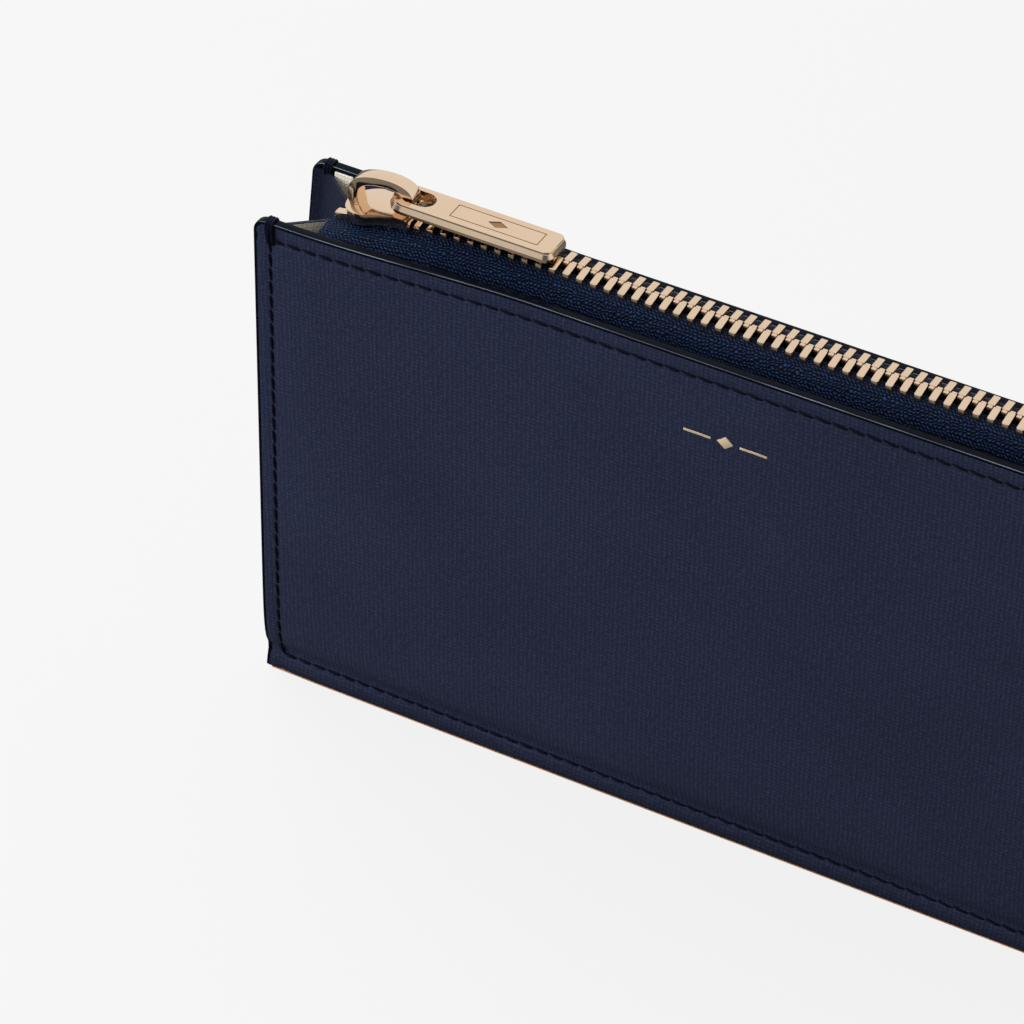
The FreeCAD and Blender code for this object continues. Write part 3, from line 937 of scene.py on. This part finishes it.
def tooth_shape(side):
    """One tooth at x = 0: a shank that grips the tape, and a lower nose past the middle."""
    shank = beveled_block((-0.50, -TOOTH_REACH, CHAIN_LOW), (0.50, -0.05, CHAIN_TOP), 0.22, 3)
    shank_points = []
    for x, y, z in shank[0]:
        outward = (max(-y - 0.5, 0.0) / (TOOTH_REACH - 0.5)) ** 1.6
        lift = max(z - TAPE_LEVEL, 0.0) / (CHAIN_TOP - TAPE_LEVEL)
        drop = (0.55 if side == FRONT else 0.25) * outward + 0.15 * ease((y + 0.7) / 0.6)
        shank_points.append((x, y, z - drop * lift))
    nose = beveled_block((-0.38, -0.40, CHAIN_LOW + 0.25), (0.38, 0.46, CHAIN_TOP - 0.28), 0.15)
    points, faces = merged([(shank_points, shank[1]), nose])
    if side == BACK:
        points = [(x, -y, z) for x, y, z in points]
        faces = [tuple(reversed(f)) for f in faces]
    return points, faces


def zip_teeth(side):
    points, faces = tooth_shape(side)
    shift = PITCH / 2 if side == FRONT else 0.0
    parts = []
    for index in range(TEETH_PER_SIDE):
        x = TEETH_START + shift + index * PITCH
        placed = on_chain([(px + x, py, pz) for px, py, pz in points], x)
        parts.append(([tuple(p) for p in placed], faces))
    all_points, all_faces = merged(parts)
    return make_object(WORDS[side] + "_teeth_row", all_points, all_faces, None, GOLD, 30)


def stop_block(name, x_low, x_high, y_low, y_high):
    points, faces = beveled_block((x_low, y_low, CHAIN_LOW), (x_high, y_high, CHAIN_TOP), 0.22, 3)
    placed = on_chain(points, (x_low + x_high) / 2)
    return make_object(name, [tuple(p) for p in placed], faces, None, GOLD, 30)


# --- Slider ---
TOP_PLATE_LOW = CHAIN_TOP + RUN_GAP
TOP_PLATE_HIGH = TOP_PLATE_LOW + PLATE
LOW_PLATE_HIGH = CHAIN_LOW - RUN_GAP
LOW_PLATE_LOW = LOW_PLATE_HIGH - PLATE


def circle_through(a, b, c):
    """Centre and radius of the circle through three points."""
    ax, ay = a
    bx, by = b
    cx, cy = c
    d = 2 * (ax * (by - cy) + bx * (cy - ay) + cx * (ay - by))
    a2, b2, c2 = (px * px + py * py for px, py in (a, b, c))
    ux = (a2 * (by - cy) + b2 * (cy - ay) + c2 * (ay - by)) / d
    uy = (a2 * (cx - bx) + b2 * (ax - cx) + c2 * (bx - ax)) / d
    return (ux, uy), math.hypot(ax - ux, ay - uy)


def arc(a, b, c, count):
    """Points from a to c along the arc through b, without c."""
    (ux, uy), radius = circle_through(a, b, c)
    first, middle, last = (math.atan2(p[1] - uy, p[0] - ux) for p in (a, b, c))
    turn = (last - first) % (2 * math.pi)
    if (middle - first) % (2 * math.pi) > turn:
        turn -= 2 * math.pi
    angles = [first + turn * k / count for k in range(count)]
    return [(ux + radius * math.cos(angle), uy + radius * math.sin(angle)) for angle in angles]


def plate_outline(half_shoulder, half_waist):
    """Plan of a slider plate: round nose, drawn in at the waist, wide at the tail."""
    shoulder = SLIDER_LEFT + 3.8
    waist = (shoulder + SLIDER_RIGHT) / 2
    outline = arc((shoulder, -half_shoulder), (SLIDER_LEFT, 0), (shoulder, half_shoulder), 22)
    outline += arc((shoulder, half_shoulder), (waist, half_waist), (SLIDER_RIGHT, half_shoulder), 12)
    outline += arc((SLIDER_RIGHT, -half_shoulder), (waist, -half_waist), (shoulder, -half_shoulder), 12)
    outline.insert(34, (SLIDER_RIGHT, half_shoulder))
    return outline


def settle_on_chain(obj):
    """Tilts a piece drawn on the level chain with the slider's stretch of it."""
    angle = math.atan(DIP_SLOPE)
    pivot = Vector((SLIDER_MIDDLE, 0, TAPE_LEVEL)) * MM
    turn = Matrix.Translation(pivot) @ Matrix.Rotation(-angle, 4, "Y") @ Matrix.Translation(-pivot)
    obj.data.transform(Matrix.Translation((0, 0, -dip(SLIDER_MIDDLE) * MM)) @ turn)
    return obj


CHANNEL_HALF = 2.4


def slider():
    upper = prism("slider_body_metal", plate_outline(3.5, 2.85), TAPE_LEVEL + 0.3, TOP_PLATE_HIGH, "z", GOLD)
    left, right = SLIDER_LEFT - 1, SLIDER_RIGHT + 1
    channel = [
        (left, -CHANNEL_HALF), (right, -CHANNEL_HALF), (right, CHANNEL_HALF), (left, CHANNEL_HALF),
    ]
    cut(upper, prism("channel", channel, TAPE_LEVEL - 1, TOP_PLATE_LOW))
    bevel(upper, 0.13)
    lower_top = TAPE_LEVEL - TAPE_THICK - 0.2
    lower = prism("slider_lower", plate_outline(3.0, 2.65), LOW_PLATE_LOW, lower_top, "z", GOLD)
    cut(lower, prism("channel", channel, LOW_PLATE_HIGH, TAPE_LEVEL + 1))
    bevel(lower, 0.12)
    post_side = [(-58.5, -0.45), (-58.2, -0.7), (-57.2, -0.7), (-56.5, -0.12)]
    post_outline = post_side + [(x, -y) for x, y in reversed(post_side)]
    post = prism("slider_post", post_outline, LOW_PLATE_HIGH - 0.2, TOP_PLATE_LOW + 0.2, "z", GOLD)
    for piece in (upper, lower, post):
        settle_on_chain(piece)
    return upper, lower, post


def smooth_loop(marks, per_span=6):
    """A smooth open curve through listed points, by Catmull-Rom spans."""
    pts = [Vector(m) for m in marks]
    line = []
    for k in range(len(pts) - 1):
        p0, p1, p2, p3 = pts[max(k - 1, 0)], pts[k], pts[k + 1], pts[min(k + 2, len(pts) - 1)]
        for j in range(per_span):
            t = j / per_span
            bend = 2 * p0 - 5 * p1 + 4 * p2 - p3
            twist = 3 * p1 - p0 - 3 * p2 + p3
            line.append(0.5 * (2 * p1 + (p2 - p0) * t + bend * t * t + twist * t ** 3))
    line.append(pts[-1])
    return [(p.x, p.y) for p in line]


CROWN_OUTSIDE = [
    (-58.5, -0.1), (-58.65, 1.2), (-58.2, 2.8), (-57.0, 4.0), (-55.0, 4.45),
    (-52.8, 4.4), (-50.7, 3.95), (-49.1, 3.0), (-48.6, 1.5), (-48.95, -0.1),
]
CROWN_INSIDE = [
    (-50.25, -0.1), (-50.1, 1.3), (-50.5, 2.35), (-52.0, 3.0), (-54.0, 3.2),
    (-55.6, 3.05), (-56.7, 2.4), (-57.15, 1.2), (-57.1, -0.1),
]


CROWN_HALF = 1.15


def crown():
    outline = smooth_loop(CROWN_OUTSIDE) + smooth_loop(CROWN_INSIDE)
    outline = [(x, TOP_PLATE_HIGH + z) for x, z in outline]
    piece = prism("crown_metal", outline, -CROWN_HALF, CROWN_HALF, "y", GOLD)
    bevel(piece, 0.18, 2, 50)
    return settle_on_chain(piece)


TAB_BAR = 1.3
HOLE_LENGTH = 4.9
HOLE_HALF = 1.7
HELD_ROUND = 2.6           # corner radius at the end that the crown holds
FREE_ROUND = 1.3


def rounded_outline(x_low, x_high, half, left_round, right_round):
    """A long plate with its own corner radius at each end."""
    outline = []
    corners = [
        (x_low + left_round, half - left_round, left_round, 90),
        (x_low + left_round, -half + left_round, left_round, 180),
        (x_high - right_round, -half + right_round, right_round, 270),
        (x_high - right_round, half - right_round, right_round, 0),
    ]
    for cx, cy, radius, start in corners:
        for k in range(9):
            angle = math.radians(start + 90 * k / 8)
            outline.append((cx + radius * math.cos(angle), cy + radius * math.sin(angle)))
    return outline


def engrave(tab):
    """A ruled border with a lozenge, cut a little way into the tab's upper face, with painted shade on the
    floors of the cuts.
    """
    left, right, half = TAB_RIGHT - 15.6, TAB_RIGHT - 2.6, 1.5
    line, deep = 0.16, 0.10
    middle = (left + right) / 2
    strips = [
        (left, right, half - line, half), (left, right, -half, -half + line),
        (left, left + line, -half, half), (right - line, right, -half, half),
    ]
    outlines = [[(a, c), (b, c), (b, d), (a, d)] for a, b, c, d in strips]
    outlines.append([(middle - 1.5, 0), (middle, -0.8), (middle + 1.5, 0), (middle, 0.8)])
    for outline in outlines:
        cut(tab, prism("engraving", outline, TAB_HIGH - deep, TAB_HIGH + 0.5))
    # Painted shade: the floors of the cut lines take a dark brown gold.
    tab.data.materials.append(GROOVE_SHADED_GOLD)
    for face in tab.data.polygons:
        level = face.center.z / MM
        if TAB_HIGH - deep - 0.02 < level < TAB_HIGH - 0.02 and face.normal.z > 0.9:
            inside = abs(face.center.y / MM) < half and face.center.x / MM > left - 0.1
            face.material_index = 1 if inside else 0


def pull():
    """The tab, with a sloping shoulder and a fine step under its upper face."""
    steps = [
        (0.12, TAB_LOW), (0.0, TAB_LOW + 0.12), (0.0, TAB_HIGH - 0.96), (0.30, TAB_HIGH - 0.36),
        (0.36, TAB_HIGH - 0.32), (0.36, TAB_HIGH - 0.06), (0.40, TAB_HIGH),
    ]
    rings = []
    for inset, z in steps:
        left, right, half = TAB_LEFT + inset, TAB_RIGHT - inset, TAB_HALF - inset
        plan = rounded_outline(left, right, half, HELD_ROUND - inset, FREE_ROUND - inset)
        rings.append([(x, y, z) for x, y in plan])
    points, faces = sweep(rings)
    tab = make_object("pull_plate", points, faces, None, GOLD, 25)
    hole_left = TAB_LEFT + TAB_BAR
    hole = rounded_outline(hole_left, hole_left + HOLE_LENGTH, HOLE_HALF, HOLE_HALF - 0.01, HOLE_HALF - 0.01)
    cut(tab, prism("hole", hole, TAB_LOW - 1, TAB_HIGH + 1))
    engrave(tab)
    tab.data.polygons.foreach_set("use_smooth", [True] * len(tab.data.polygons))
    tab.data.set_sharp_from_angle(angle=math.radians(18))
    return tab


# --- Assembly ---
def follow_mouth(obj, nodes):
    """A piece of the front side, kept where it was built, with its CAD nodes hidden."""
    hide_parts(*nodes)
    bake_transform(obj)
    return obj


follow_mouth(leather_panel(FRONT), ["front_panel"])
finish_piece(leather_panel(BACK), "back_side", ["back_panel"])
follow_mouth(edge_bead(FRONT), ["front_edge_coat"])
finish_piece(edge_bead(BACK), "back_side", ["back_edge_coat"])
follow_mouth(foot_edge(FRONT), [])
finish_piece(foot_edge(BACK), "back_side", [])
follow_mouth(stitch_rows(FRONT), ["front_stitching"])
finish_piece(stitch_rows(BACK), "back_side", ["back_stitching"])
follow_mouth(edge_wraps(FRONT), ["front_bar_tacks"])
finish_piece(edge_wraps(BACK), "back_side", ["back_bar_tacks"])
follow_mouth(foil_ornament(), ["front_foil_mark"])

LINING_LOW = 0.4
LINING_TOP = TOP - 4.2
LINING_HALF = 65.5
LINING_THICK = 0.3
LINING_STEP = 0.9
LINING_END_RISE = 3.7


def lining_sheet(side):
    spans = (-LINING_HALF, LINING_HALF, LINING_LOW, LINING_TOP)
    name = WORDS[side] + "_lining_cloth"
    return thin_sheet(name, side, *spans, 0.0, LINING_THICK, LINING, LINING_STEP, LINING_END_RISE)


follow_mouth(lining_sheet(FRONT), ["front_lining", "front_stiffener"])
finish_piece(lining_sheet(BACK), "back_side", ["back_lining", "back_stiffener"])

POCKET_HALF = 50
POCKET_LOW = 26
POCKET_THICK = 0.35
POCKET_DEPTH = 0.38        # of the upper pocket, from the panel's inside
POCKET_STEP = 0.43         # the lower pocket lies this much further in
for order, (word, top) in enumerate((("upper", 66.0), ("lower", 56.0))):
    spans = (-POCKET_HALF, POCKET_HALF, POCKET_LOW, top)
    depth = POCKET_DEPTH + POCKET_STEP * order
    pocket = thin_sheet(f"pocket_{word}_skin", BACK, *spans, depth, POCKET_THICK, POCKET_SKIN)
    bevel(pocket, 0.12, 2, 60)
    finish_piece(pocket, "back_side", [f"card_pocket_{word}"])


for end, word in ((-1, "left"), (1, "right")):
    strip = folded_strip(word + "_gusset_leather", end, 0.05, 0.45, GUSSET_LOW, GUSSET_TOP, SHADED_GUSSET_SKIN)
    cloth = folded_strip(word + "_gusset_cloth", end, 0.0, 0.04, GUSSET_LOW + 1, GUSSET_TOP - 0.15, LINING)
    for piece, slot_name, node in ((strip, "leather_gusset", "_gusset"), (cloth, "lining", "_gusset_lining")):
        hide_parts(word + node)
        if end < 0:
            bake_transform(piece)
        else:
            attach(piece, "back_side")

follow_mouth(zip_tape(FRONT), ["front_tape"])
finish_piece(zip_tape(BACK), "back_side", ["back_tape"])
follow_mouth(zip_teeth(FRONT), ["front_teeth"])
finish_piece(zip_teeth(BACK), "back_side", ["back_teeth"])

TOP_STOP_SPAN = (-60.3, -58.2)
BOTTOM_STOP_SPAN = (57.0, 59.4)
STOP_GAP = 0.95            # from the middle plane to each top stop
front_stop = stop_block("front_stop_block", *TOP_STOP_SPAN, -CHAIN_HALF, -STOP_GAP)
follow_mouth(front_stop, ["front_top_stop"])
back_stop = stop_block("back_stop_block", *TOP_STOP_SPAN, STOP_GAP, CHAIN_HALF)
finish_piece(back_stop, "back_side", ["back_top_stop"])
bottom_stop = stop_block("bottom_stop_block", *BOTTOM_STOP_SPAN, -CHAIN_HALF, CHAIN_HALF)
finish_piece(bottom_stop, "back_side", ["bottom_stop"])

upper, lower, post = slider()
finish_piece(upper, "slider", ["slider_body"])
finish_piece(lower, "slider", [])
finish_piece(post, "slider", [])
finish_piece(crown(), "slider", ["slider_crown"])
finish_piece(pull(), "pull", ["pull_tab"])


def paint_cad(node, material):
    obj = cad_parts[node]
    obj.data.materials.clear()
    obj.data.materials.append(material)


paint_cad("pocket_stitching", THREAD)

# --- Floor, light and camera ---
def studio():
    scene = bpy.context.scene
    scene.view_settings.view_transform = "Standard"
    scene.view_settings.look = "None"
    mesh = bpy.data.meshes.new("floor")
    reach = 6.0
    corners = [(-reach, -reach, 0), (reach, -reach, 0), (reach, reach, 0), (-reach, reach, 0)]
    mesh.from_pydata(corners, [], [(0, 1, 2, 3)])
    floor = bpy.data.objects.new("floor", mesh)
    scene.collection.objects.link(floor)
    n = Nodes("floor_white")
    path = n.add("ShaderNodeLightPath")
    n.set("Base Color", (0.05, 0.05, 0.05, 1.0))
    n.set("Roughness", 0.9)
    n.set("Specular IOR Level", 0.0)
    n.set("Emission Color", (1.0, 1.0, 1.0, 1.0))
    n.set("Emission Strength", n.remap(path.outputs["Is Camera Ray"], 0.0, 1.0, 0.10, 0.835))
    mesh.materials.append(n.material)

    world = bpy.data.worlds.new("studio")
    scene.world = world
    world.use_nodes = True
    tree = world.node_tree
    back = tree.nodes["Background"]
    coord = tree.nodes.new("ShaderNodeTexCoord")
    split = tree.nodes.new("ShaderNodeSeparateXYZ")
    tree.links.new(coord.outputs["Generated"], split.inputs[0])
    toward_front = tree.nodes.new("ShaderNodeMapRange")
    toward_front.interpolation_type = "SMOOTHSTEP"
    for index, value in enumerate((-0.75, 0.05, 0.12, 0.86), start=1):
        toward_front.inputs[index].default_value = value
    tree.links.new(split.outputs["Y"], toward_front.inputs["Value"])
    toward_card = tree.nodes.new("ShaderNodeVectorMath")
    toward_card.operation = "DOT_PRODUCT"
    toward_card.inputs[1].default_value = (-0.33, -0.72, 0.61)
    card = tree.nodes.new("ShaderNodeMapRange")
    card.interpolation_type = "SMOOTHSTEP"
    for index, value in enumerate((0.85, 0.95, 0.0, 0.75), start=1):
        card.inputs[index].default_value = value
    both = tree.nodes.new("ShaderNodeMath")
    tree.links.new(coord.outputs["Generated"], toward_card.inputs[0])
    tree.links.new(toward_card.outputs["Value"], card.inputs["Value"])
    tree.links.new(toward_front.outputs["Result"], both.inputs[0])
    tree.links.new(card.outputs["Result"], both.inputs[1])
    tree.links.new(both.outputs[0], back.inputs["Color"])

    def softbox(name, place, aim, size, power):
        light = bpy.data.lights.new(name, "AREA")
        light.shape = "RECTANGLE"
        light.size, light.size_y = size
        light.energy = power
        lamp = bpy.data.objects.new(name, light)
        scene.collection.objects.link(lamp)
        lamp.location = place
        lamp.visible_glossy = False
        direction = Vector(aim) - Vector(place)
        lamp.rotation_euler = direction.to_track_quat("-Z", "Y").to_euler()

    softbox("key", (-0.55, 0.25, 0.75), (0, 0, 0.05), (0.7, 0.45), 7.0)
    softbox("fill", (-0.44, -0.32, 0.28), (-0.05, 0, 0.05), (0.3, 0.3), 3.3)


def camera():
    """Long lens, to the right of the front and well above it, with a slight roll."""
    azimuth, elevation, roll = math.radians(24.88), math.radians(37.99), math.radians(3.91)
    distance = 0.650
    target = Vector((-32.58, 0, 42.05)) * MM
    level = math.cos(elevation)
    back = Vector((math.sin(azimuth) * level, -math.cos(azimuth) * level, math.sin(elevation)))
    right = Vector((math.cos(azimuth), math.sin(azimuth), 0))
    up = back.cross(right)
    across = right * math.cos(roll) + up * math.sin(roll)
    upward = -right * math.sin(roll) + up * math.cos(roll)
    data = bpy.data.cameras.new("camera")
    data.sensor_width = 36.0
    data.lens = 167.6
    data.clip_start = 0.01
    eye = bpy.data.objects.new("camera", data)
    bpy.context.scene.collection.objects.link(eye)
    turn = Matrix((across, upward, back)).transposed().to_4x4()
    eye.matrix_world = Matrix.Translation(target + back * distance) @ turn
    bpy.context.scene.camera = eye


studio()
camera()

bpy.context.view_layer.update()
